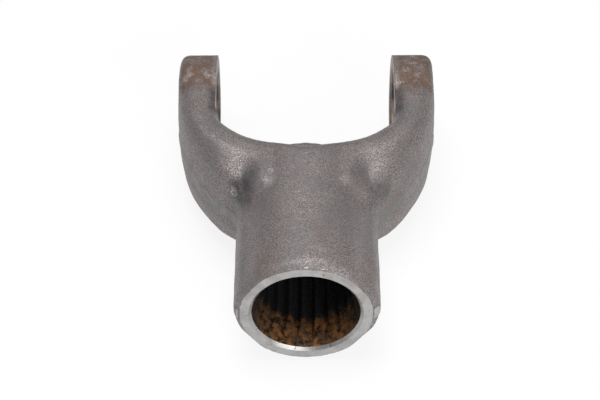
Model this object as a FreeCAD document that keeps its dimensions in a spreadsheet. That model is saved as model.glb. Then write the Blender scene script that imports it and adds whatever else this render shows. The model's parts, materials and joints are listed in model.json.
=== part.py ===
"""Forged yoke of a universal joint: a splined hub that widens into a fork with two bored ears.

One steel forging, parted in the plane Z = 0, then machined. Millimetres. The origin is the joint's
centre, where the hub's axis (Y, its mouth towards -Y) meets the axis of the ear bores (X).
"""

import FreeCAD, Part
import Sketcher
import math
import os

doc = FreeCAD.newDocument("forged_yoke")

# Driving dimensions: name, value, what it is. Lengths in millimetres, angles in degrees.
DIMENSIONS = [
    ("hub_radius", 25.1, "outside of the forged hub"),
    ("mouth_distance", 104.0, "machined hub end to the joint's centre"),
    ("hub_end_round", 4.8, "forged rounding of the hub's end"),
    ("facing_stock", 1.0, "cut off the hub's end by facing"),
    ("overrun", 3.0, "how far the section of a cut runs past the stock it removes"),
    ("forging_shift", 0.4, "the forging lies this far towards +X of the machined axes"),
    ("fork_half_width", 48.5, "flash band to the hub's axis"),
    ("band_half_height", 7.0, "upright band along the parting line, half its height"),
    ("draft_angle", 5.0, "lean of the forged walls above and below the band"),
    ("crotch_draft", 14.0, "lean of the crotch wall above and below the band"),
    ("crest_level", 24.0, "height of the upper and lower outline of the fork block"),
    ("shoulder_start", 8.5, "where the ears' straight sides end, in front of the bore axis"),
    ("shoulder_radius", 67.0, "curve of the shoulders along the flash band"),
    ("root_half_width", 18.0, "where the shoulders end inside the hub, at the band"),
    ("crest_root_half_width", 9.0, "the same at the crest outline"),
    ("root_clearance", 0.5, "between the crotch rim's rounding and the web's end inside the hub"),
    ("block_back", 24.0, "how far the fork block runs past the bore axis"),
    ("crotch_radius", 38.7, "crotch wall round the joint's centre, at the band"),
    ("crotch_corner", 5.0, "rounding between the crotch and the forged inside of an arm"),
    ("gap_half", 33.5, "machined inner face of an ear to the hub's axis"),
    ("gap_stock", 1.0, "cut off the inside of each arm by milling"),
    ("cutter_clearance", 0.4, "between the milled gap's end and the crotch wall"),
    ("arm_drop", 5.2, "arm's top below the hub's top, at the bore axis"),
    ("arm_rise", 2.4, "angle at which the arm grows higher towards the hub"),
    ("arm_round", 6.5, "rounding of the arm's outer edges"),
    ("rim_round", 6.5, "rounding of the crotch rim and the arm's inner edges"),
    ("rounded_share", 0.44, "most of the arm's top width that one of its roundings may take"),
    ("ear_radius", 20.5, "ear round the bore axis"),
    ("ear_round", 3.4, "rounding of the ear's outer edge"),
    ("ear_half_width", 48.3, "outer face of an ear to the hub's axis"),
    ("hub_rim_round", 9.0, "rounding of the hub's top where it ends at the crotch"),
    ("hub_crotch_setback", 0.3, "hub's end behind the fork's crotch wall"),
    ("valley_round", 6.0, "fillet between hub and shoulders"),
    ("edge_break", 0.2, "chamfer of the hub end's outer edge"),
    ("mouth_radius", 19.7, "mouth of the bore at the hub end"),
    ("mouth_chamfer", 1.0, "short 45 degree chamfer at the mouth"),
    ("lead_in_length", 11.8, "conical lead-in, from the hub end"),
    ("tooth_count", 21, "teeth of the internal spline"),
    ("pitch_radius", 16.67, "pitch circle of the spline"),
    ("pressure_angle", 30.0, "pressure angle of the spline"),
    ("minor_radius", 15.9, "tips of the internal teeth"),
    ("major_radius", 17.9, "bottom of the tooth spaces"),
    ("spline_turn", 6.3, "turn of one tooth space from straight down towards +X"),
    ("bore_radius", 15.1, "cross bores for the bearing caps"),
    ("bore_chamfer", 0.8, "chamfer at both ends of each cross bore"),
    ("ring_groove_place", 45.7, "inner wall of the snap ring groove to the hub's axis"),
    ("ring_groove_width", 1.3, "snap ring groove"),
    ("ring_groove_depth", 1.1, "snap ring groove below the bore's wall"),
]

sheet = doc.addObject("Spreadsheet::Sheet", "size")
for row, (name, value, meaning) in enumerate(DIMENSIONS, start=1):
    sheet.set(f"A{row}", meaning)
    sheet.set(f"B{row}", str(value))
    sheet.setAlias(f"B{row}", name)
doc.recompute()

# Formulas that several features share.
FORGED_GAP_HALF = "(size.gap_half - size.gap_stock)"
FORGED_END = "(size.mouth_distance + size.facing_stock)"
CREST = "(size.crest_level - size.band_half_height)"
CREST_INSET = f"({CREST} * tan(size.draft_angle))"
TOP_WIDTH = f"(size.fork_half_width - {CREST_INSET} - {FORGED_GAP_HALF})"
ARM_ROUND = f"min(size.arm_round; size.rounded_share * {TOP_WIDTH})"
RIM_ROUND = f"min(size.rim_round; size.rounded_share * {TOP_WIDTH})"
CREST_CROTCH = f"(size.crotch_radius + {CREST} * tan(size.crotch_draft))"
ROOT_DEPTH = f"({CREST_CROTCH} + size.rim_round + size.root_clearance)"
ARM_HALF_HEIGHT = "(size.hub_radius - size.arm_drop)"
BEYOND = "(size.mouth_distance + size.fork_half_width)"  # safely outside the whole forging


def solve(formula):
    """The number that a formula of the sheet gives."""
    result = sheet.evalExpression(formula)
    return float(getattr(result, "Value", result))


def plane_of(body, role):
    return next(f for f in body.Origin.OriginFeatures if f.Role == role)


def new_sketch(body, name, role, level=None):
    """A sketch on one of the body's origin planes, lifted off it by a formula."""
    sketch = body.newObject("Sketcher::SketchObject", name)
    sketch.AttachmentSupport = [(plane_of(body, role), "")]
    sketch.MapMode = "FlatFace"
    if level is not None:
        sketch.setExpression("AttachmentOffset.Base.z", level)
    return sketch


def fix_point(sketch, geometry, position, across, up):
    """Hold a point at (across, up) from the sketch's origin, both given as formulas."""
    for kind, formula in (("DistanceX", across), ("DistanceY", up)):
        rule = Sketcher.Constraint(kind, -1, 1, geometry, position, solve(formula))
        place = sketch.addConstraint(rule)
        sketch.setExpression(f"Constraints[{place}]", formula)


def arc_between(start, end, radius, turn):
    """The short arc of this radius between two points: turn is 1 anticlockwise, -1 clockwise."""
    chord = end - start
    across = FreeCAD.Vector(-chord.y, chord.x, 0).normalize()
    reach = math.sqrt(radius**2 - (chord.Length / 2) ** 2)
    centre = (start + end) / 2 + across * (turn * reach)
    first, last = (start, end) if turn > 0 else (end, start)
    angles = [math.atan2(p.y - centre.y, p.x - centre.x) for p in (first, last)]
    circle = Part.Circle(centre, FreeCAD.Vector(0, 0, 1), radius)
    return Part.ArcOfCircle(circle, angles[0], angles[1])


def profile(sketch, corners):
    """Close a profile through its corners, each (across, up) in formulas.

    A corner that also holds (radius, turn) starts an arc to the next corner.
    """
    points = [FreeCAD.Vector(solve(c[0]), solve(c[1]), 0) for c in corners]
    edges = []
    for place, corner in enumerate(corners):
        start, end = points[place], points[(place + 1) % len(points)]
        if len(corner) == 2:
            edge = sketch.addGeometry(Part.LineSegment(start, end), False)
            edges.append((edge, 1, 2))
        else:
            radius, turn = corner[2:]
            edge = sketch.addGeometry(arc_between(start, end, solve(radius), turn), False)
            edges.append((edge, 1, 2) if turn > 0 else (edge, 2, 1))
            rule = sketch.addConstraint(Sketcher.Constraint("Radius", edge, solve(radius)))
            sketch.setExpression(f"Constraints[{rule}]", radius)
    for place, (edge, first, last) in enumerate(edges):
        following, its_first, _ = edges[(place + 1) % len(edges)]
        sketch.addConstraint(Sketcher.Constraint("Coincident", edge, last, following, its_first))
        fix_point(sketch, edge, first, *corners[place][:2])


def circle(sketch, radius, across="0", up="0"):
    round_edge = Part.Circle(FreeCAD.Vector(solve(across), solve(up), 0),
                             FreeCAD.Vector(0, 0, 1), solve(radius))
    edge = sketch.addGeometry(round_edge, False)
    rule = sketch.addConstraint(Sketcher.Constraint("Radius", edge, solve(radius)))
    sketch.setExpression(f"Constraints[{rule}]", radius)
    fix_point(sketch, edge, 3, across, up)


def new_feature(body, kind, name, **links):
    feature = body.newObject(f"PartDesign::{kind}", name)
    for key, value in links.items():
        setattr(feature, key, value)
    return feature


def cut_through(body, sketch, name):
    """Pocket the sketch right through the body, both ways."""
    cut = new_feature(body, "Pocket", name, Profile=sketch, Type="ThroughAll", Midplane=True)
    doc.recompute()
    return cut


def fillet(body, name, radius, test):
    """Round every edge of the body whose inner points pass the test."""
    doc.recompute()
    base = body.Tip
    edges = []
    for place, edge in enumerate(base.Shape.Edges, start=1):
        if test(edge.discretize(Number=7)[1:-1]):
            edges.append(f"Edge{place}")
    rounding = new_feature(body, "Fillet", name, Base=(base, edges))
    rounding.setExpression("Radius", radius)
    doc.recompute()
    return rounding


def fork_outline(body, name, level, root):
    """The U of the fork seen along Z, at one level: side, shoulder, root, and round the crotch."""
    above_band = f"max(0; abs({level}) - size.band_half_height)"
    inset = f"({above_band} * tan(size.draft_angle))"
    side = f"(size.fork_half_width - {inset})"
    curve = f"(size.shoulder_radius - {inset})"
    crotch = f"(size.crotch_radius + {above_band} * tan(size.crotch_draft))"
    front = f"(-size.shoulder_start - sqrt({curve}^2 - ({root} - {side} + {curve})^2))"
    inner = FORGED_GAP_HALF
    corner = f"-sqrt({crotch}^2 - {inner}^2)"
    sketch = new_sketch(body, name, "XY_Plane", level)
    profile(sketch, [
        (side, "size.block_back"),
        (inner, "size.block_back"),
        (inner, corner, crotch, -1),
        ("-" + inner, corner),
        ("-" + inner, "size.block_back"),
        ("-" + side, "size.block_back"),
        ("-" + side, "-size.shoulder_start", curve, 1),
        ("-" + root, front),
        ("-" + root, "-" + ROOT_DEPTH),
        (root, "-" + ROOT_DEPTH),
        (root, front, curve, 1),
        (side, "-size.shoulder_start"),
    ])
    return sketch


def fork_block(body):
    """The drafted block of the fork, upright along the flash band and leaning in above and below."""
    sections = []
    for name, level, root in (
            ("crest_lower", "-size.crest_level", "size.crest_root_half_width"),
            ("band_lower", "-size.band_half_height", "size.root_half_width"),
            ("band_upper", "size.band_half_height", "size.root_half_width"),
            ("crest_upper", "size.crest_level", "size.crest_root_half_width")):
        sections.append(fork_outline(body, name, level, root))
    new_feature(body, "AdditiveLoft", "block", Profile=sections[0], Sections=sections[1:],
                Ruled=True)
    doc.recompute()


def frame_round(sketch):
    """A square far outside the forging, so that a cut keeps only what the sketch's shape covers."""
    profile(sketch, [(BEYOND, BEYOND), ("-" + BEYOND, BEYOND), ("-" + BEYOND, "-" + BEYOND),
                     (BEYOND, "-" + BEYOND)])


# The arms and shoulders: the block between an upper and a lower plane that open towards the hub.
arms = doc.addObject("PartDesign::Body", "arms")
fork_block(arms)
ARM_FRONT = "(size.mouth_distance - size.hub_radius)"
ARM_TOP_FRONT = f"({ARM_HALF_HEIGHT} + {ARM_FRONT} * tan(size.arm_rise))"
side_view = new_sketch(arms, "arm_side_view", "YZ_Plane")
frame_round(side_view)
profile(side_view, [("0", ARM_HALF_HEIGHT), ("-" + ARM_FRONT, ARM_TOP_FRONT),
                    ("-" + ARM_FRONT, "-" + ARM_TOP_FRONT), ("0", "-" + ARM_HALF_HEIGHT)])
cut_through(arms, side_view, "arm_side_cut")

CLOSE = 0.1  # how near a point of an edge must be to count as lying on a surface


def on_arm_top(point):
    top = solve(ARM_HALF_HEIGHT) - point.y * math.tan(math.radians(solve("size.arm_rise")))
    return abs(abs(point.z) - top) < CLOSE


def crotch_radius_at(point):
    lean = max(0, abs(point.z) - solve("size.band_half_height"))
    return solve("size.crotch_radius") + lean * math.tan(math.radians(solve("size.crotch_draft")))


def on_crotch(point):
    return abs(math.hypot(point.x, point.y) - crotch_radius_at(point)) < CLOSE


def on_forged_inside(point):
    return abs(abs(point.x) - solve(FORGED_GAP_HALF)) < CLOSE


def at_crotch_corner(points):
    return all(on_crotch(p) and on_forged_inside(p) for p in points)


def at_outer_rim(points):
    shoulder = max(abs(p.x) for p in points) > solve("size.root_half_width")
    outside = all(math.hypot(p.x, p.y) > crotch_radius_at(p) + CLOSE for p in points)
    return shoulder and outside and all(on_arm_top(p) and p.y < -CLOSE for p in points)


def at_inner_rim(points):
    return (all(on_arm_top(p) and p.y < -CLOSE for p in points)
            and all(math.hypot(p.x, p.y) < crotch_radius_at(p) + CLOSE for p in points))


fillet(arms, "crotch_corners", "size.crotch_corner", at_crotch_corner)
fillet(arms, "outer_rims", ARM_ROUND, at_outer_rim)
fillet(arms, "inner_rims", RIM_ROUND, at_inner_rim)


# The ears: a ring boss on each arm, slightly coned on its outer face.
ears = doc.addObject("PartDesign::Body", "ears")
ear_half = new_sketch(ears, "ear_half_section", "XY_Plane")
CONE = "(size.ear_radius - size.ear_round - size.bore_radius) * tan(size.draft_angle)"
for side in ("", "-"):
    face = f"{side}(size.ear_half_width)"
    edge = f"{side}(size.ear_half_width - {CONE})"
    corner = f"{side}(size.ear_half_width - {CONE} - size.ear_round)"
    inner = side + FORGED_GAP_HALF
    turn = 1 if side == "" else -1
    profile(ear_half, [
        (inner, "0"),
        (face, "0"),
        (face, "size.bore_radius"),
        (edge, "size.ear_radius - size.ear_round", "size.ear_round", turn),
        (corner, "size.ear_radius"),
        (inner, "size.ear_radius"),
    ])
new_feature(ears, "Revolution", "ear_rings", Profile=ear_half,
            ReferenceAxis=(ear_half, ["H_Axis"]), Angle=360)

# The hub: turned form with a rounded end, its inner end hollowed and rounded with the crotch.
hub = doc.addObject("PartDesign::Body", "hub")
hub_half = new_sketch(hub, "hub_half_section", "XY_Plane")
HUB_REAR = "(-size.crotch_radius + size.hub_rim_round)"
profile(hub_half, [
    ("0", f"-{FORGED_END}"),
    ("size.hub_radius - size.hub_end_round", f"-{FORGED_END}", "size.hub_end_round", 1),
    ("size.hub_radius", f"-{FORGED_END} + size.hub_end_round"),
    ("size.hub_radius", HUB_REAR),
    ("0", HUB_REAR),
])
new_feature(hub, "Revolution", "hub_turned", Profile=hub_half,
            ReferenceAxis=(hub_half, ["V_Axis"]), Angle=360)

WALL = "(size.crotch_radius + size.hub_crotch_setback)"
WALL_HEIGHT = "(size.hub_radius - size.hub_rim_round)"
ABOVE_HUB = "(size.hub_radius + size.overrun)"
WALL_TOP = f"({WALL} + ({WALL_HEIGHT} - size.band_half_height) * tan(size.crotch_draft))"
crotch_half = new_sketch(hub, "crotch_half_section", "YZ_Plane")
profile(crotch_half, [
    ("0", f"-{ABOVE_HUB}"),
    (f"{WALL_TOP} + size.hub_rim_round", f"-{ABOVE_HUB}"),
    (f"{WALL_TOP} + size.hub_rim_round", "-size.hub_radius", "size.hub_rim_round", -1),
    (WALL_TOP, f"-{WALL_HEIGHT}"),
    (WALL, "-size.band_half_height"),
    (WALL, "size.band_half_height"),
    (WALL_TOP, WALL_HEIGHT, "size.hub_rim_round", -1),
    (f"{WALL_TOP} + size.hub_rim_round", "size.hub_radius"),
    (f"{WALL_TOP} + size.hub_rim_round", ABOVE_HUB),
    ("0", ABOVE_HUB),
])
new_feature(hub, "Groove", "crotch_relief", Profile=crotch_half,
            ReferenceAxis=(crotch_half, ["V_Axis"]), Angle=360)

# The forging: arms, ears and hub as one, lying a little to one side of the machined axes.
for form in (arms, ears, hub):
    form.setExpression("Placement.Base.x", "size.forging_shift")
forging = doc.addObject("Part::MultiFuse", "forging")
forging.Shapes = [arms, ears, hub]
forging.Refine = True

# The yoke: the forging with its valleys blended, then turned, broached, milled and bored.
yoke = doc.addObject("PartDesign::Body", "yoke")
yoke.BaseFeature = forging


def at_valley(points):
    axis = solve("size.forging_shift")
    on_hub = all(abs(math.hypot(p.x - axis, p.z) - solve("size.hub_radius")) < CLOSE
                 for p in points)
    beside_fork = all(p.y > solve("size.hub_radius - size.mouth_distance") for p in points)
    rim_start = solve(f"{WALL_TOP} + size.hub_rim_round")
    before_rim = any(math.hypot(p.x - axis, p.y) > rim_start + CLOSE for p in points)
    return on_hub and beside_fork and before_rim


fillet(yoke, "valleys", "size.valley_round", at_valley)

# Turning: faced end, broken outer edge, mouth chamfer, conical lead-in and the bore to be broached.
FACE = "-size.mouth_distance"
CUT_FRONT = f"({FACE} - size.facing_stock - size.overrun)"
CHAMFERED = "(size.mouth_radius - size.mouth_chamfer)"
FACE_DROP = "(size.hub_end_round - size.facing_stock)"
FACE_RADIUS = (f"(size.hub_radius - size.hub_end_round + "
               f"sqrt(size.hub_end_round^2 - {FACE_DROP}^2))")
turning = new_sketch(yoke, "turning_section", "XY_Plane")
profile(turning, [
    ("0", CUT_FRONT),
    ("size.hub_radius + size.facing_stock", CUT_FRONT),
    ("size.hub_radius + size.facing_stock", f"{FACE} + size.hub_radius + "
     f"size.facing_stock - {FACE_RADIUS} + size.edge_break"),
    (f"{FACE_RADIUS} - size.edge_break", FACE),
    ("size.mouth_radius", FACE),
    (CHAMFERED, f"{FACE} + size.mouth_chamfer"),
    ("size.minor_radius", f"{FACE} + size.lead_in_length"),
    ("size.minor_radius", HUB_REAR),
    ("0", HUB_REAR),
])
new_feature(yoke, "Groove", "turned", Profile=turning, ReferenceAxis=(turning, ["V_Axis"]),
            Angle=360)
doc.recompute()

# Broaching: one tooth space of the spline, its flanks as arcs of the involute's curvature.
BASE_RADIUS = "(size.pitch_radius * cos(size.pressure_angle))"
INVOLUTE = "(tan(size.pressure_angle) * 180 / pi - size.pressure_angle)"


def space_half_width(radius):
    """Half the width of a tooth space at a radius: it narrows outwards along the involute."""
    slope = f"acos({BASE_RADIUS} / {radius})"
    involute = f"(tan({slope}) * 180 / pi - {slope} / 1 deg)"
    return f"({radius} * sin(90 / size.tooth_count + {INVOLUTE} - {involute}))"


def across_spline(radius, offset):
    """A point at this radius on the tooth space's middle line, moved sideways by the offset."""
    return (f"{radius} * sin(size.spline_turn) + {offset} * cos(size.spline_turn)",
            f"{offset} * sin(size.spline_turn) - {radius} * cos(size.spline_turn)")


tip_half = space_half_width("size.minor_radius")
root_half = space_half_width("size.major_radius")
FLANK = "size.pitch_radius * sin(size.pressure_angle)"
INSIDE_BORE = "(size.minor_radius - size.overrun)"
tooth_space = new_sketch(yoke, "tooth_space", "XZ_Plane")
profile(tooth_space, [
    across_spline("size.minor_radius", f"(-{tip_half})") + (FLANK, 1),
    across_spline("size.major_radius", f"(-{root_half})"),
    across_spline("size.major_radius", root_half) + (FLANK, 1),
    across_spline("size.minor_radius", tip_half),
    across_spline(INSIDE_BORE, tip_half),
    across_spline(INSIDE_BORE, f"(-{tip_half})"),
])
space_cut = cut_through(yoke, tooth_space, "tooth_space_cut")
spline = new_feature(yoke, "PolarPattern", "spline", Originals=[space_cut],
                     Axis=(plane_of(yoke, "Y_Axis"), [""]), Angle=360)
spline.setExpression("Occurrences", "size.tooth_count")
yoke.Tip = spline
doc.recompute()

# Milling: the inner faces of the ears, down to a cutter's arc just short of the crotch wall.
CUTTER_ARC = "(size.crotch_radius - size.cutter_clearance)"
GAP_FRONT = f"-sqrt({CUTTER_ARC}^2 - size.gap_half^2)"
gap = new_sketch(yoke, "gap_outline", "XY_Plane")
profile(gap, [
    ("size.gap_half", BEYOND),
    ("-size.gap_half", BEYOND),
    ("-size.gap_half", GAP_FRONT, CUTTER_ARC, 1),
    ("size.gap_half", GAP_FRONT),
])
cut_through(yoke, gap, "gap_milled")

# Boring: the cross bores in line through both ears, their snap ring grooves and chamfers.
bore = new_sketch(yoke, "bore_outline", "YZ_Plane")
circle(bore, "size.bore_radius")
cut_through(yoke, bore, "cross_bores")
grooves = new_sketch(yoke, "groove_sections", "XY_Plane")
INSIDE = "(size.bore_radius - size.ring_groove_depth)"
for side in ("", "-"):
    near = f"{side}size.ring_groove_place"
    far = f"{side}(size.ring_groove_place + size.ring_groove_width)"
    bottom = "size.bore_radius + size.ring_groove_depth"
    profile(grooves, [(near, INSIDE), (far, INSIDE), (far, bottom), (near, bottom)])
    for place, outward in (("size.ear_half_width", 1), ("size.gap_half", -1)):
        start = f"{side}({place} - {outward} * size.bore_chamfer)"
        end = f"{side}({place} + {outward} * size.bore_chamfer)"
        profile(grooves, [(start, "size.bore_radius"),
                          (end, "size.bore_radius + 2 * size.bore_chamfer"),
                          (end, "size.bore_radius")])
new_feature(yoke, "Groove", "ring_grooves", Profile=grooves,
            ReferenceAxis=(grooves, ["H_Axis"]), Angle=360)
doc.recompute()

# Nothing is written unless every object has built and the yoke is one sound solid.
for item in doc.Objects:
    failed = {"Invalid", "Error"} & set(item.State)
    if failed:
        raise RuntimeError(f"{item.Name} did not build: {item.State}")
if yoke.Shape.isNull() or not yoke.Shape.isValid() or len(yoke.Shape.Solids) != 1:
    raise RuntimeError("the yoke is not one valid solid")
os.makedirs("parts", exist_ok=True)
yoke.Shape.exportStep(f"parts/{yoke.Label}.step")
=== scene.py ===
import json
import math

import bmesh
import bpy
from mathutils import Matrix, Vector, noise


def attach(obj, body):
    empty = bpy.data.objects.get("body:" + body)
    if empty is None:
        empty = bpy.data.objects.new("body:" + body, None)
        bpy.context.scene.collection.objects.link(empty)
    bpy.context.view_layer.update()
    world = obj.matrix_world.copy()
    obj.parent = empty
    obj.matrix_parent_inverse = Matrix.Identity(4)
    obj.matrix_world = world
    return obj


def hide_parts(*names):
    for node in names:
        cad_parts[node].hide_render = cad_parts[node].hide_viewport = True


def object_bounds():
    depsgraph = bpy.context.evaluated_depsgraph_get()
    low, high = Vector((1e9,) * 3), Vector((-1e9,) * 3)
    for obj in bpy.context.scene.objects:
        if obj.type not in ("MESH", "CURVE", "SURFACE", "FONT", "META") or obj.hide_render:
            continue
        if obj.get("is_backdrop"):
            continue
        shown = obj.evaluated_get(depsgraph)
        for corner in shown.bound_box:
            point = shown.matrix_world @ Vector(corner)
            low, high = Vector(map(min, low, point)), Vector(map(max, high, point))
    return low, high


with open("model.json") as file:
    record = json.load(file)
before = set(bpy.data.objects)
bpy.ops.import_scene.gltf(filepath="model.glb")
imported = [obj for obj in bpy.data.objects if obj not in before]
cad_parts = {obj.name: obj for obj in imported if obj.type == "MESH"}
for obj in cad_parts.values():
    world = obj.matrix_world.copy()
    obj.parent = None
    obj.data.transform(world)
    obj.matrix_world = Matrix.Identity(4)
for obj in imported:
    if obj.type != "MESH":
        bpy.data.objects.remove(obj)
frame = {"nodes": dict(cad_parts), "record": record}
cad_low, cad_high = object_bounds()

MM = 0.001

# ---------------------------------------------------------------------------
# Forged skin. The yoke starts as one hot-forged piece of steel with its bores
# still closed. Its skin is slightly wavy and pitted, and the flash that ran
# out between the dies is trimmed off along the parting plane z = 0.
# ---------------------------------------------------------------------------

mounts = {mount["name"]: mount for mount in frame["record"]["mounts"]}
mouth_y = cad_low.y
bore_radius = mounts["cross_bore"]["dims"]["r_mm"] * MM
tooth_tip_radius = mounts["spline"]["dims"]["r_mm"] * MM
gap_half = mounts["ear_face_right"]["pos_m"][0]

ear_face_x = 48.3 * MM
crotch_radius = 38.3 * MM       # where the milled gap ends, round the joint's centre
spline_root_radius = 17.9 * MM
voxel = 0.8 * MM


def add_cylinder(bm, start, end, radius, segments=48):
    """A closed cylinder between two points."""
    axis = Vector(end) - Vector(start)
    turn = Vector((0, 0, 1)).rotation_difference(axis.normalized()).to_matrix().to_4x4()
    place = Matrix.Translation((Vector(start) + Vector(end)) / 2) @ turn
    bmesh.ops.create_cone(bm, cap_ends=True, segments=segments, radius1=radius,
                          radius2=radius, depth=axis.length, matrix=place)


def link(mesh, name):
    piece = bpy.data.objects.new(name, mesh)
    bpy.context.scene.collection.objects.link(piece)
    return piece


def settle(piece):
    """Make the result of a piece's modifiers its own mesh."""
    bpy.context.view_layer.update()
    graph = bpy.context.evaluated_depsgraph_get()
    old = piece.data
    piece.data = bpy.data.meshes.new_from_object(piece.evaluated_get(graph))
    piece.modifiers.clear()
    bpy.data.meshes.remove(old)


bm = bmesh.new()
bm.from_mesh(frame["nodes"]["yoke"].data)
bmesh.ops.remove_doubles(bm, verts=bm.verts, dist=0.001 * MM)
plug_inset = 0.4 * MM           # the plugs end this far inside the steel
crotch_inset = 1.2 * MM
hub_plug_radius = spline_root_radius + 2.2 * MM
ear_plug_radius = bore_radius + 1.6 * MM
add_cylinder(bm, (0, mouth_y + plug_inset, 0), (0, -crotch_radius - crotch_inset, 0), hub_plug_radius)
for side in (-1, 1):
    add_cylinder(bm, (side * (gap_half + plug_inset), 0, 0),
                 (side * (ear_face_x - 2 * plug_inset), 0, 0), ear_plug_radius)
skin_mesh = bpy.data.meshes.new("forged_skin")
bm.to_mesh(skin_mesh)
bm.free()
yoke = link(skin_mesh, "forged_yoke")
remesh = yoke.modifiers.new("even_mesh", "REMESH")
remesh.mode = "VOXEL"
remesh.voxel_size = voxel
smooth = yoke.modifiers.new("die_polish", "SMOOTH")
smooth.factor = 0.5
smooth.iterations = 2
settle(yoke)

flash_half = 2.1 * MM           # trimmed flash stands on the sides over this half height
flash_edge = 0.8 * MM
flash_proud = 0.22 * MM
waviness = ((11.0 * MM, 0.16 * MM), (4.2 * MM, 0.07 * MM), (1.9 * MM, 0.035 * MM))
stock = 0.12 * MM               # left on surfaces that are machined later
milled_from_y = -21 * MM
near_milled = 0.5 * MM
near_crotch = 0.3 * MM
rim_width = 6 * MM              # the flash starts this far outside the crotch and the gap
arm_inside = 4 * MM

# Dents and pits: place, radius and depth in millimetres.
DENTS = (
    ((-38.0, -12.0, 18.6), 1.3, 0.5), ((-37.6, -15.5, 18.6), 1.2, 0.45),
    ((-25.6, -57.0, 12.0), 1.4, 0.5), ((-12.5, -57.0, 22.0), 1.1, 0.4),
    ((-15.5, -61.0, 19.5), 1.0, 0.35), ((41.0, 3.0, 19.5), 1.2, 0.4),
    ((6.0, -75.0, 25.0), 0.9, 0.25), ((-9.0, -84.0, 23.6), 0.8, 0.25),
    ((17.0, -70.0, 18.6), 0.9, 0.3), ((44.0, -30.0, 14.0), 1.0, 0.3),
)


def smoothstep(value, start, end):
    t = min(1.0, max(0.0, (value - start) / (end - start)))
    return t * t * (3 - 2 * t)


# Behind the ridge of the crotch rim the shoulders fall away, deepest beside the hub.
ridge_reach = 50.0 * MM
fall_length = 8 * MM
shoulder_fall = 2.6 * MM
valley_fall = 2.6 * MM
valley_radius = 7.5 * MM
valley_place = Vector((22.5 * MM, -56 * MM))
vertices = yoke.data.vertices
for vertex in vertices:
    p = vertex.co
    reach = math.hypot(p.x, p.y)
    beside_hub = smoothstep(abs(p.x), 14.5 * MM, 23 * MM) * smoothstep(abs(p.z), 8 * MM, 17 * MM)
    from_valley = (Vector((abs(p.x), p.y)) - valley_place).length / valley_radius
    behind_ridge = smoothstep(reach, ridge_reach, ridge_reach + fall_length)
    fall = beside_hub * (shoulder_fall * behind_ridge + valley_fall * math.exp(-from_valley**2))
    vertex.co.z = p.z - math.copysign(fall, p.z)
yoke.data.update()
normals = [v.normal.copy() for v in vertices]
for vertex, normal in zip(vertices, normals):
    p = vertex.co
    reach = math.hypot(p.x, p.y)
    in_gap = (abs(p.x) < gap_half + near_milled and reach < crotch_radius + near_crotch
              and p.y > milled_from_y)
    at_mouth = p.y < mouth_y + near_milled
    if in_gap or at_mouth:
        vertex.co = p + normal * stock
        continue
    shift = 0.0
    for wave, height in waviness:
        shift += height * noise.noise(p / wave + Vector((wave, 0, 3)) * 7)
    upright = 1 - smoothstep(abs(normal.z), 0.35, 0.75)
    if reach > crotch_radius + rim_width or abs(p.x) > gap_half + arm_inside:
        at_flash = 1 - smoothstep(abs(p.z), flash_half, flash_half + flash_edge)
        shift += flash_proud * upright * at_flash
    for place, radius, depth in DENTS:
        away = (p - Vector(place) * MM).length / (radius * MM)
        if away < 2.2:
            shift -= depth * MM * math.exp(-away * away * 1.6)
    moved = p + normal * shift
    vertex.co = Vector(max(low, min(high, value))
                       for value, low, high in zip(moved, cad_low, cad_high))

# ---------------------------------------------------------------------------
# Forged steel's finish: a grainy, pinkish grey-brown scale that sparkles, painted
# shade in the hollows and on the arms' inner sides, brown rust on the ear tops and bright ground
# flash.
# ---------------------------------------------------------------------------


def new_material(name):
    material = bpy.data.materials.new(name)
    material.use_nodes = True
    tree = material.node_tree
    return material, tree, tree.nodes["Principled BSDF"]


def add_node(tree, kind, inputs=(), **settings):
    node = tree.nodes.new(kind)
    for key, value in settings.items():
        setattr(node, key, value)
    for socket, value in dict(inputs).items():
        if isinstance(value, bpy.types.NodeSocket):
            tree.links.new(value, node.inputs[socket])
        else:
            node.inputs[socket].default_value = value
    return node


def math_node(tree, operation, *values, clamp=False):
    node = tree.nodes.new("ShaderNodeMath")
    node.operation = operation
    node.use_clamp = clamp
    for socket, value in zip(node.inputs, values):
        if isinstance(value, bpy.types.NodeSocket):
            tree.links.new(value, socket)
        else:
            socket.default_value = value
    return node.outputs[0]


def remap(tree, value, low, high, to_low=0.0, to_high=1.0):
    """Smoothly map a value from one range to another, clamped."""
    node = add_node(tree, "ShaderNodeMapRange", {"Value": value, "From Min": low, "From Max": high,
                                                 "To Min": to_low, "To Max": to_high},
                    interpolation_type="SMOOTHSTEP")
    return node.outputs["Result"]


def mix_colour(tree, factor, first, second):
    node = tree.nodes.new("ShaderNodeMix")
    node.data_type = "RGBA"
    for socket, value in ((node.inputs["Factor"], factor), (node.inputs["A"], first),
                          (node.inputs["B"], second)):
        if isinstance(value, bpy.types.NodeSocket):
            tree.links.new(value, socket)
        elif isinstance(value, (int, float)):
            socket.default_value = value
        else:
            socket.default_value = (*value, 1.0)
    return node


def noise_node(tree, place, size, detail=3.0, roughness=0.55):
    """Noise whose grains are about this size, in metres."""
    return add_node(tree, "ShaderNodeTexNoise", {"Vector": place, "Scale": 1 / size,
                                                 "Detail": detail, "Roughness": roughness})


forged, tree, surface = new_material("forged_scale")
place = add_node(tree, "ShaderNodeTexCoord").outputs["Object"]
masks = {name: add_node(tree, "ShaderNodeAttribute", attribute_name=name).outputs["Fac"]
         for name in ("rust", "ground", "soot", "nick")}

grain = noise_node(tree, place, 0.46 * MM, 2.0, 0.6).outputs["Fac"]
blotch = noise_node(tree, place, 14 * MM, 3.0, 0.6).outputs["Fac"]
mottle = noise_node(tree, place, 3.0 * MM, 3.0, 0.6).outputs["Fac"]

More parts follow.
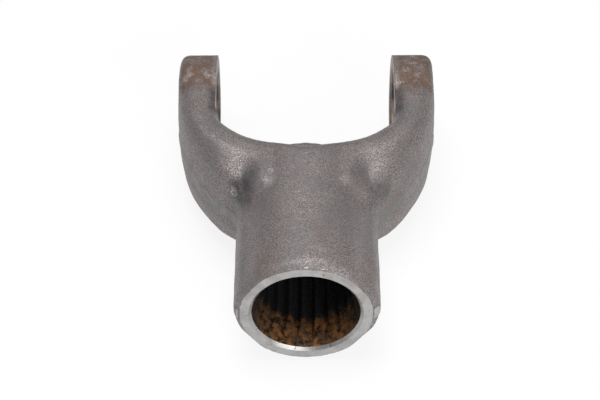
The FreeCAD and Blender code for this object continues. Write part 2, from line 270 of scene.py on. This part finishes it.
pale = (0.31, 0.272, 0.265)
dark = (0.125, 0.111, 0.11)
speckle = remap(tree, grain, 0.36, 0.64)
tone = mix_colour(tree, speckle, dark, pale)
cool = mix_colour(tree, remap(tree, blotch, 0.4, 0.62, 0.0, 0.45), tone.outputs["Result"],
                  (0.165, 0.156, 0.16))
# Painted shade: the hollows beside the hub and the arms' inner sides are mixed towards near-black.
shade_spread = math_node(tree, "MULTIPLY", masks["soot"], remap(tree, mottle, 0.3, 0.6, 0.55, 1.0))
shaded = mix_colour(tree, shade_spread, cool.outputs["Result"], (0.04, 0.039, 0.044))
rust_spread = math_node(tree, "MULTIPLY", masks["rust"],
                        remap(tree, mottle, 0.34, 0.56), clamp=True)
rusty = mix_colour(tree, math_node(tree, "MULTIPLY", rust_spread, 0.72), shaded.outputs["Result"],
                   (0.15, 0.082, 0.048))
ground_tone = mix_colour(tree, remap(tree, mottle, 0.35, 0.65), (0.17, 0.16, 0.158),
                         (0.23, 0.22, 0.217))
grounded = mix_colour(tree, masks["ground"], rusty.outputs["Result"], ground_tone.outputs["Result"])
nicked = mix_colour(tree, math_node(tree, "MULTIPLY", masks["nick"], remap(tree, grain, 0.45, 0.6)),
                    grounded.outputs["Result"], (0.42, 0.41, 0.41))
tree.links.new(nicked.outputs["Result"], surface.inputs["Base Color"])
surface.inputs["Metallic"].default_value = 0.55
rough = remap(tree, grain, 0.3, 0.7, 0.62, 0.42)
rougher = math_node(tree, "ADD", rough, math_node(tree, "MULTIPLY", rust_spread, 0.25), clamp=True)
tree.links.new(rougher, surface.inputs["Roughness"])
relief = math_node(tree, "ADD", grain, math_node(tree, "MULTIPLY", mottle, 0.8))
flat_part = math_node(tree, "SUBTRACT", 1.0, math_node(tree, "MULTIPLY", masks["ground"], 0.75))
bump = add_node(tree, "ShaderNodeBump", {"Height": math_node(tree, "MULTIPLY", relief, flat_part),
                                         "Strength": 0.55, "Distance": 0.35 * MM})
tree.links.new(bump.outputs["Normal"], surface.inputs["Normal"])

# ---------------------------------------------------------------------------
# Turning. The hub's end is faced and its outer edge broken, and the bore gets
# a short chamfer and a long conical lead-in. The face is bare steel with fine
# turning marks, and the lead-in and bore are stained by oil and rust; deeper
# in, painted shade darkens the bore to near-black.
# ---------------------------------------------------------------------------

mouth_radius = 19.7 * MM
mouth_chamfer = 1.0 * MM
lead_in = 11.8 * MM
face_radius = 23.1 * MM
edge_break = 1.5 * MM

faced, tree, surface = new_material("faced_steel")
place = add_node(tree, "ShaderNodeTexCoord").outputs["Object"]
axes = add_node(tree, "ShaderNodeSeparateXYZ", {"Vector": place})
from_axis = math_node(tree, "SQRT", math_node(
    tree, "ADD", math_node(tree, "MULTIPLY", axes.outputs["X"], axes.outputs["X"]),
    math_node(tree, "MULTIPLY", axes.outputs["Z"], axes.outputs["Z"])))
rings = math_node(tree, "SINE", math_node(tree, "MULTIPLY", from_axis, 2 * math.pi / (0.22 * MM)))
haze = noise_node(tree, place, 5 * MM, 4.0, 0.6).outputs["Fac"]
pits = noise_node(tree, place, 1.3 * MM, 2.0, 0.5).outputs["Fac"]
clean = mix_colour(tree, remap(tree, haze, 0.35, 0.65), (0.34, 0.33, 0.32), (0.46, 0.45, 0.44))
spotted = mix_colour(tree, remap(tree, pits, 0.655, 0.72, 0.0, 0.85), clean.outputs["Result"],
                     (0.10, 0.085, 0.075))
tree.links.new(spotted.outputs["Result"], surface.inputs["Base Color"])
surface.inputs["Metallic"].default_value = 0.8
tree.links.new(remap(tree, haze, 0.3, 0.7, 0.34, 0.5), surface.inputs["Roughness"])
bump = add_node(tree, "ShaderNodeBump", {"Height": rings, "Strength": 0.12, "Distance": 0.02 * MM})
tree.links.new(bump.outputs["Normal"], surface.inputs["Normal"])

oiled_and_shaded, tree, surface = new_material("oiled_bore_steel")
place = add_node(tree, "ShaderNodeTexCoord").outputs["Object"]
axes = add_node(tree, "ShaderNodeSeparateXYZ", {"Vector": place})
drip = noise_node(tree, place, 2.2 * MM, 4.0, 0.65).outputs["Fac"]
film = noise_node(tree, place, 6.0 * MM, 3.0, 0.6).outputs["Fac"]
stain = mix_colour(tree, remap(tree, drip, 0.38, 0.62), (0.035, 0.026, 0.018), (0.34, 0.15, 0.05))
low_side = remap(tree, axes.outputs["Z"], 0.0, -17 * MM)
oily = mix_colour(tree, math_node(tree, "MULTIPLY", low_side, remap(tree, film, 0.3, 0.6, 0.3, 1.0)),
                  (0.05, 0.042, 0.033), stain.outputs["Result"])
# Deeper in than the lead-in the bore goes near-black: painted shade inside the bore, over its dark
# oil.
inner = remap(tree, axes.outputs["Y"], mouth_y + 9 * MM, mouth_y + 14 * MM)
deep_shade = mix_colour(tree, inner, oily.outputs["Result"], (0.02, 0.02, 0.022))
tree.links.new(deep_shade.outputs["Result"], surface.inputs["Base Color"])
surface.inputs["Metallic"].default_value = 0.4
tree.links.new(remap(tree, drip, 0.35, 0.65, 0.22, 0.45), surface.inputs["Roughness"])
bump = add_node(tree, "ShaderNodeBump", {"Height": drip, "Strength": 0.5, "Distance": 0.3 * MM})
tree.links.new(bump.outputs["Normal"], surface.inputs["Normal"])


def turned_tool(name, outline, axis, materials, segments=144):
    """A closed body turned about an axis through the origin.

    The outline holds (radius, distance along the axis, material place), from the axis out and back.
    """
    bm = bmesh.new()
    side = axis.orthogonal().normalized()
    other = axis.cross(side)
    rings = []
    for radius, along, _ in outline:
        if radius == 0:
            rings.append([bm.verts.new(axis * along)])
            continue
        ring = []
        for step in range(segments):
            turn = 2 * math.pi * step / segments
            outwards = side * math.cos(turn) + other * math.sin(turn)
            ring.append(bm.verts.new(axis * along + outwards * radius))
        rings.append(ring)
    for (_, _, material), first, second in zip(outline, rings, rings[1:] + rings[:1]):
        for step in range(segments):
            after = (step + 1) % segments
            corners = [first[step % len(first)], first[after % len(first)],
                       second[after % len(second)], second[step % len(second)]]
            corners = list(dict.fromkeys(corners))      # one at a pole counts once
            if len(corners) >= 3:
                bm.faces.new(corners).material_index = material
    bmesh.ops.recalc_face_normals(bm, faces=bm.faces)
    mesh = bpy.data.meshes.new(name)
    bm.to_mesh(mesh)
    bm.free()
    for material in materials:
        mesh.materials.append(material)
    return link(mesh, name)


def cut(tool):
    """Take the tool's body away from the yoke; the new faces get the tool's material."""
    shave = yoke.modifiers.new(tool.name, "BOOLEAN")
    shave.operation = "DIFFERENCE"
    shave.solver = "EXACT"
    shave.material_mode = "TRANSFER"
    shave.object = tool
    settle(yoke)
    bpy.data.objects.remove(tool)


yoke.data.materials.append(forged)
front = -Vector((0, 1, 0))
end = -mouth_y
clear = 3 * MM                  # a tool runs this far past the steel
bore_end = crotch_radius - 14 * MM
cut(turned_tool("facing", (
    (0, end + clear, 0),
    (face_radius + edge_break + clear, end + clear, 0),
    (face_radius + edge_break + clear, end - edge_break - clear, 0),
    (face_radius, end, 0),
    (0, end, 0),
), front, [faced]))
cut(turned_tool("boring", (
    (0, end + clear, 0),
    (mouth_radius + clear, end + clear, 0),
    (mouth_radius, end, 0),
    (mouth_radius - mouth_chamfer, end - mouth_chamfer, 1),
    (tooth_tip_radius, end - lead_in, 1),
    (tooth_tip_radius, bore_end, 1),
    (0, bore_end, 1),
), front, [faced, oiled_and_shaded]))

# ---------------------------------------------------------------------------
# Broaching. A broach cuts the tooth spaces of the internal spline, all alike
# and evenly spaced round the hub's axis, so they run out into the lead-in as
# sharp grooves.
# ---------------------------------------------------------------------------

tooth_count = 21
pitch_radius = 16.67 * MM
pressure_angle = math.radians(30)
spline_turn = math.radians(6.3)


def space_half_width(radius):
    """Half the width of a tooth space at a radius, along the involute."""
    base = pitch_radius * math.cos(pressure_angle)
    slope = math.acos(base / radius)
    involute = math.tan(slope) - slope
    at_pitch = math.tan(pressure_angle) - pressure_angle
    return radius * math.sin(math.pi / 2 / tooth_count + at_pitch - involute)


broach_inside = 14.0 * MM
flank_end = 17.3 * MM
root_narrowing = 0.55           # the rounded root leaves this share of the width
bm = bmesh.new()
outline = []
for radius in (broach_inside, tooth_tip_radius, pitch_radius, flank_end, spline_root_radius):
    half = space_half_width(max(radius, tooth_tip_radius))
    if radius == spline_root_radius:
        half *= root_narrowing
    outline.append((half, -radius))
outline += [(-x, z) for x, z in reversed(outline)]
near = [bm.verts.new((x, mouth_y - clear, z)) for x, z in outline]
far = [bm.verts.new((x, -bore_end, z)) for x, z in outline]
bm.faces.new(near)
bm.faces.new(far)
for here, there in zip(range(len(near)), list(range(1, len(near))) + [0]):
    bm.faces.new((near[here], near[there], far[there], far[here]))
bmesh.ops.recalc_face_normals(bm, faces=bm.faces)
space_mesh = bpy.data.meshes.new("tooth_space")
bm.to_mesh(space_mesh)
bm.free()
broach = link(space_mesh, "broach")

tree = bpy.data.node_groups.new("teeth_round_an_axis", "GeometryNodeTree")
tree.interface.new_socket("Geometry", in_out="INPUT", socket_type="NodeSocketGeometry")
count_socket = tree.interface.new_socket("Teeth", in_out="INPUT", socket_type="NodeSocketInt")
turn_socket = tree.interface.new_socket("First turn", in_out="INPUT", socket_type="NodeSocketFloat")
metal_socket = tree.interface.new_socket("Metal", in_out="INPUT", socket_type="NodeSocketMaterial")
tree.interface.new_socket("Geometry", in_out="OUTPUT", socket_type="NodeSocketGeometry")
given = tree.nodes.new("NodeGroupInput")
result = tree.nodes.new("NodeGroupOutput")
points = add_node(tree, "GeometryNodeMeshLine", {"Count": given.outputs["Teeth"], "Offset": (0, 0, 0)})
index = add_node(tree, "GeometryNodeInputIndex").outputs["Index"]
step = math_node(tree, "DIVIDE", 2 * math.pi, given.outputs["Teeth"])
turn = math_node(tree, "ADD", math_node(tree, "MULTIPLY", index, step), given.outputs["First turn"])
rotation = add_node(tree, "ShaderNodeCombineXYZ", {"Y": turn})
copies = add_node(tree, "GeometryNodeInstanceOnPoints", {
    "Points": points.outputs["Mesh"], "Instance": given.outputs["Geometry"],
    "Rotation": rotation.outputs["Vector"]})
real = add_node(tree, "GeometryNodeRealizeInstances", {"Geometry": copies.outputs["Instances"]})
painted = add_node(tree, "GeometryNodeSetMaterial", {"Geometry": real.outputs["Geometry"],
                                                     "Material": given.outputs["Metal"]})
tree.links.new(painted.outputs["Geometry"], result.inputs["Geometry"])
pattern = broach.modifiers.new("teeth", "NODES")
pattern.node_group = tree
pattern[count_socket.identifier] = tooth_count
pattern[turn_socket.identifier] = -spline_turn
pattern[metal_socket.identifier] = oiled_and_shaded
settle(broach)
cut(broach)

# ---------------------------------------------------------------------------
# Milling and boring. A cutter leaves the inner faces of the ears flat, and a
# boring bar opens both ears in one line, with chamfers and a groove for a snap
# ring in each. Grease and rust have dulled these faces.
# ---------------------------------------------------------------------------

bored, tree, surface = new_material("bored_ear_steel")
place = add_node(tree, "ShaderNodeTexCoord").outputs["Object"]
blotch = noise_node(tree, place, 4.0 * MM, 4.0, 0.6).outputs["Fac"]
dust = mix_colour(tree, remap(tree, blotch, 0.4, 0.62), (0.16, 0.145, 0.14), (0.34, 0.27, 0.22))
tree.links.new(dust.outputs["Result"], surface.inputs["Base Color"])
surface.inputs["Metallic"].default_value = 0.7
tree.links.new(remap(tree, blotch, 0.3, 0.7, 0.36, 0.58), surface.inputs["Roughness"])
scratches = add_node(tree, "ShaderNodeTexWave", {"Vector": place, "Scale": 1 / (2.4 * MM),
                                                 "Distortion": 1.5, "Detail": 2.0},
                     bands_direction="Y")
bump = add_node(tree, "ShaderNodeBump", {"Height": scratches.outputs["Fac"], "Strength": 0.15,
                                         "Distance": 0.05 * MM})
tree.links.new(bump.outputs["Normal"], surface.inputs["Normal"])

bm = bmesh.new()
corner_y = -math.sqrt(crotch_radius**2 - gap_half**2)
start_angle = math.atan2(corner_y, -gap_half)
end_angle = math.atan2(corner_y, gap_half)
arc_steps = 48
beyond_ears = 60 * MM
above_arms = 40 * MM
edge = [(gap_half, beyond_ears), (-gap_half, beyond_ears)]
for step in range(arc_steps + 1):
    turn = start_angle + (end_angle - start_angle) * step / arc_steps
    edge.append((crotch_radius * math.cos(turn), crotch_radius * math.sin(turn)))
low = [bm.verts.new((x, y, -above_arms)) for x, y in edge]
top = [bm.verts.new((x, y, above_arms)) for x, y in edge]
bm.faces.new(low)
bm.faces.new(top)
for here, there in zip(range(len(low)), list(range(1, len(low))) + [0]):
    bm.faces.new((low[here], low[there], top[there], top[here]))
bmesh.ops.recalc_face_normals(bm, faces=bm.faces)
gap_mesh = bpy.data.meshes.new("gap")
bm.to_mesh(gap_mesh)
bm.free()
gap_mesh.materials.append(bored)
cut(link(gap_mesh, "gap_cutter"))

bore_chamfer = 0.8 * MM
groove_place = 45.7 * MM
groove_width = 1.3 * MM
groove_depth = 1.1 * MM
flare = bore_chamfer + clear
outline = [(0, ear_face_x + 2 * clear, 0), (bore_radius + flare, ear_face_x + 2 * clear, 0),
           (bore_radius + flare, ear_face_x + clear, 0),
           (bore_radius, ear_face_x - bore_chamfer, 0),
           (bore_radius, groove_place + groove_width, 0),
           (bore_radius + groove_depth, groove_place + groove_width, 0),
           (bore_radius + groove_depth, groove_place, 0),
           (bore_radius, groove_place, 0),
           (bore_radius, gap_half + bore_chamfer, 0),
           (bore_radius + bore_chamfer, gap_half, 0),
           (bore_radius + bore_chamfer, gap_half - clear, 0),
           (0, gap_half - clear, 0)]
for side in (-1, 1):
    cut(turned_tool("boring_bar", outline, Vector((side, 0, 0)), [bored]))

# ---------------------------------------------------------------------------
# Wear and painted shade. Rust has settled on the ear tops, and the trimmed flash
# and the dents show cleaner steel; painted shade darkens the hollows beside the hub
# and the arms' inner sides. Each is a mask on the mesh, so that the forged finish follows the form.
# ---------------------------------------------------------------------------

# Painted shade in the valleys beside the hub: place and radius in millimetres, and how dark it is.
VALLEY_SHADE = (((-21, -58, 14), 9.0, 0.75), ((27, -58, 12), 8.0, 0.4))
clean_depth = 0.3               # dents deeper than this show bare metal round them
rust_mask, ground_mask, painted_shade_mask, nick_mask = [], [], [], []
for vertex in yoke.data.vertices:
    p = vertex.co / MM
    normal = vertex.normal
    on_ear = smoothstep(math.hypot(p.y, p.z), 19.0, 20.2) * smoothstep(abs(p.x), 34, 36)
    top = smoothstep(p.y, -13.5, -8.5) * (1 - smoothstep(p.y, 9, 15))
    rust_mask.append(min(1.0, on_ear * top * smoothstep(normal.z, 0.3, 0.7)
                         + 0.25 * smoothstep(noise.noise(p / 13), 0.2, 0.5)))
    upright = 1 - smoothstep(abs(normal.z), 0.3, 0.7)
    outside = math.hypot(p.x, p.y) > 44 or abs(p.x) > 40
    ground_mask.append(upright * (1 - smoothstep(abs(p.z), 1.9, 2.7)) if outside else 0.0)
    inwards = -normal.x * math.copysign(1, p.x)
    inner_side = smoothstep(inwards, 0.25, 0.7) * smoothstep(abs(p.x), 30, 34)
    # Painted shade on the arms' inward-facing sides near the crotch, and in the valleys beside the
    # hub.
    soot = 0.7 * inner_side * smoothstep(p.y, -26, -20) * (1 - smoothstep(p.y, -12, -7))
    for centre, radius, amount in VALLEY_SHADE:
        soot += amount * (1 - smoothstep((p - Vector(centre)).length, radius * 0.35, radius))
    painted_shade_mask.append(min(1.0, soot))
    nick = 0.0
    for centre, radius, depth in DENTS:
        if depth > clean_depth:
            away = (p - Vector(centre)).length / radius
            nick = max(nick, 1 - smoothstep(abs(away - 0.9), 0.1, 0.7))
    nick_mask.append(nick)
for name, values in (("rust", rust_mask), ("ground", ground_mask), ("soot", painted_shade_mask),
                     ("nick", nick_mask)):
    layer = yoke.data.attributes.new(name, "FLOAT", "POINT")
    layer.data.foreach_set("value", values)
yoke.data.shade_smooth()
yoke.data.set_sharp_from_angle(angle=math.radians(28))
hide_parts("yoke")
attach(yoke, "root")

# ---------------------------------------------------------------------------
# Studio: a white sweep under soft lamps, and the camera above the hub's mouth.
# ---------------------------------------------------------------------------

floor_z = cad_low.z - 0.1 * MM
bm = bmesh.new()
bmesh.ops.create_grid(bm, x_segments=1, y_segments=1, size=3.0,
                      matrix=Matrix.Translation((0, 0, floor_z)))
floor_mesh = bpy.data.meshes.new("floor")
bm.to_mesh(floor_mesh)
bm.free()
floor = link(floor_mesh, "floor")
paper, tree, surface = new_material("white_paper")
surface.inputs["Base Color"].default_value = (0.86, 0.86, 0.86, 1)
surface.inputs["Roughness"].default_value = 0.9
rays = tree.nodes.new("ShaderNodeLightPath")
seen = math_node(tree, "MAXIMUM", rays.outputs["Is Camera Ray"],
                 math_node(tree, "MAXIMUM", rays.outputs["Is Glossy Ray"],
                           rays.outputs["Is Transmission Ray"]))
white = add_node(tree, "ShaderNodeEmission", {"Color": (1, 1, 1, 1), "Strength": 1.0})
blend = add_node(tree, "ShaderNodeMixShader", {0: math_node(tree, "MULTIPLY", seen, 0.86),
                                              1: surface.outputs["BSDF"],
                                              2: white.outputs["Emission"]})
tree.links.new(blend.outputs["Shader"], tree.nodes["Material Output"].inputs["Surface"])
floor_mesh.materials.append(paper)
floor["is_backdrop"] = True

world = bpy.data.worlds.new("studio")
bpy.context.scene.world = world
world.use_nodes = True
sky = world.node_tree.nodes["Background"]
rays = world.node_tree.nodes.new("ShaderNodeLightPath")
seen = math_node(world.node_tree, "MAXIMUM", rays.outputs["Is Camera Ray"],
                 rays.outputs["Is Transmission Ray"])
tone = mix_colour(world.node_tree, seen, (0.3, 0.3, 0.305), (1.0, 1.0, 1.0))
world.node_tree.links.new(tone.outputs["Result"], sky.inputs["Color"])
sky.inputs["Strength"].default_value = 1.0


def lamp(name, place, size, power, aim=(0, -50 * MM, 0)):
    light = bpy.data.lights.new(name, "AREA")
    light.shape = "RECTANGLE"
    light.size, light.size_y = size
    light.energy = power
    holder = bpy.data.objects.new(name, light)
    bpy.context.scene.collection.objects.link(holder)
    holder.location = place
    direction = Vector(aim) - Vector(place)
    holder.rotation_euler = direction.to_track_quat("-Z", "Y").to_euler()


lamp("top_softbox", (-0.05, -0.02, 0.8), (0.45, 0.45), 5.6)
lamp("front_softbox", (0.3, -0.8, 0.4), (0.6, 0.4), 4.4)

focal_px = 1605.5
elevation, azimuth = math.radians(45.83), math.radians(-0.07)
distance = 585.84 * MM
target = Vector((0, -50 * MM, 0))
back = Vector((math.sin(azimuth) * math.cos(elevation), -math.cos(azimuth) * math.cos(elevation),
               math.sin(elevation)))
right = Vector((math.cos(azimuth), math.sin(azimuth), 0))
up = back.cross(right)
view = bpy.data.cameras.new("camera")
camera = bpy.data.objects.new("camera", view)
bpy.context.scene.collection.objects.link(camera)
bpy.context.scene.camera = camera
view.sensor_width = 36
view.lens = focal_px / 600 * view.sensor_width
camera.location = target + back * distance + right * (-2.014 * MM) + up * (0.419 * MM)
camera.rotation_mode = "QUATERNION"
camera.rotation_quaternion = Matrix((right, up, back)).transposed().to_quaternion()
view.clip_start, view.clip_end = 0.01, 20
bpy.context.scene.view_settings.view_transform = "Standard"

low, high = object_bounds()
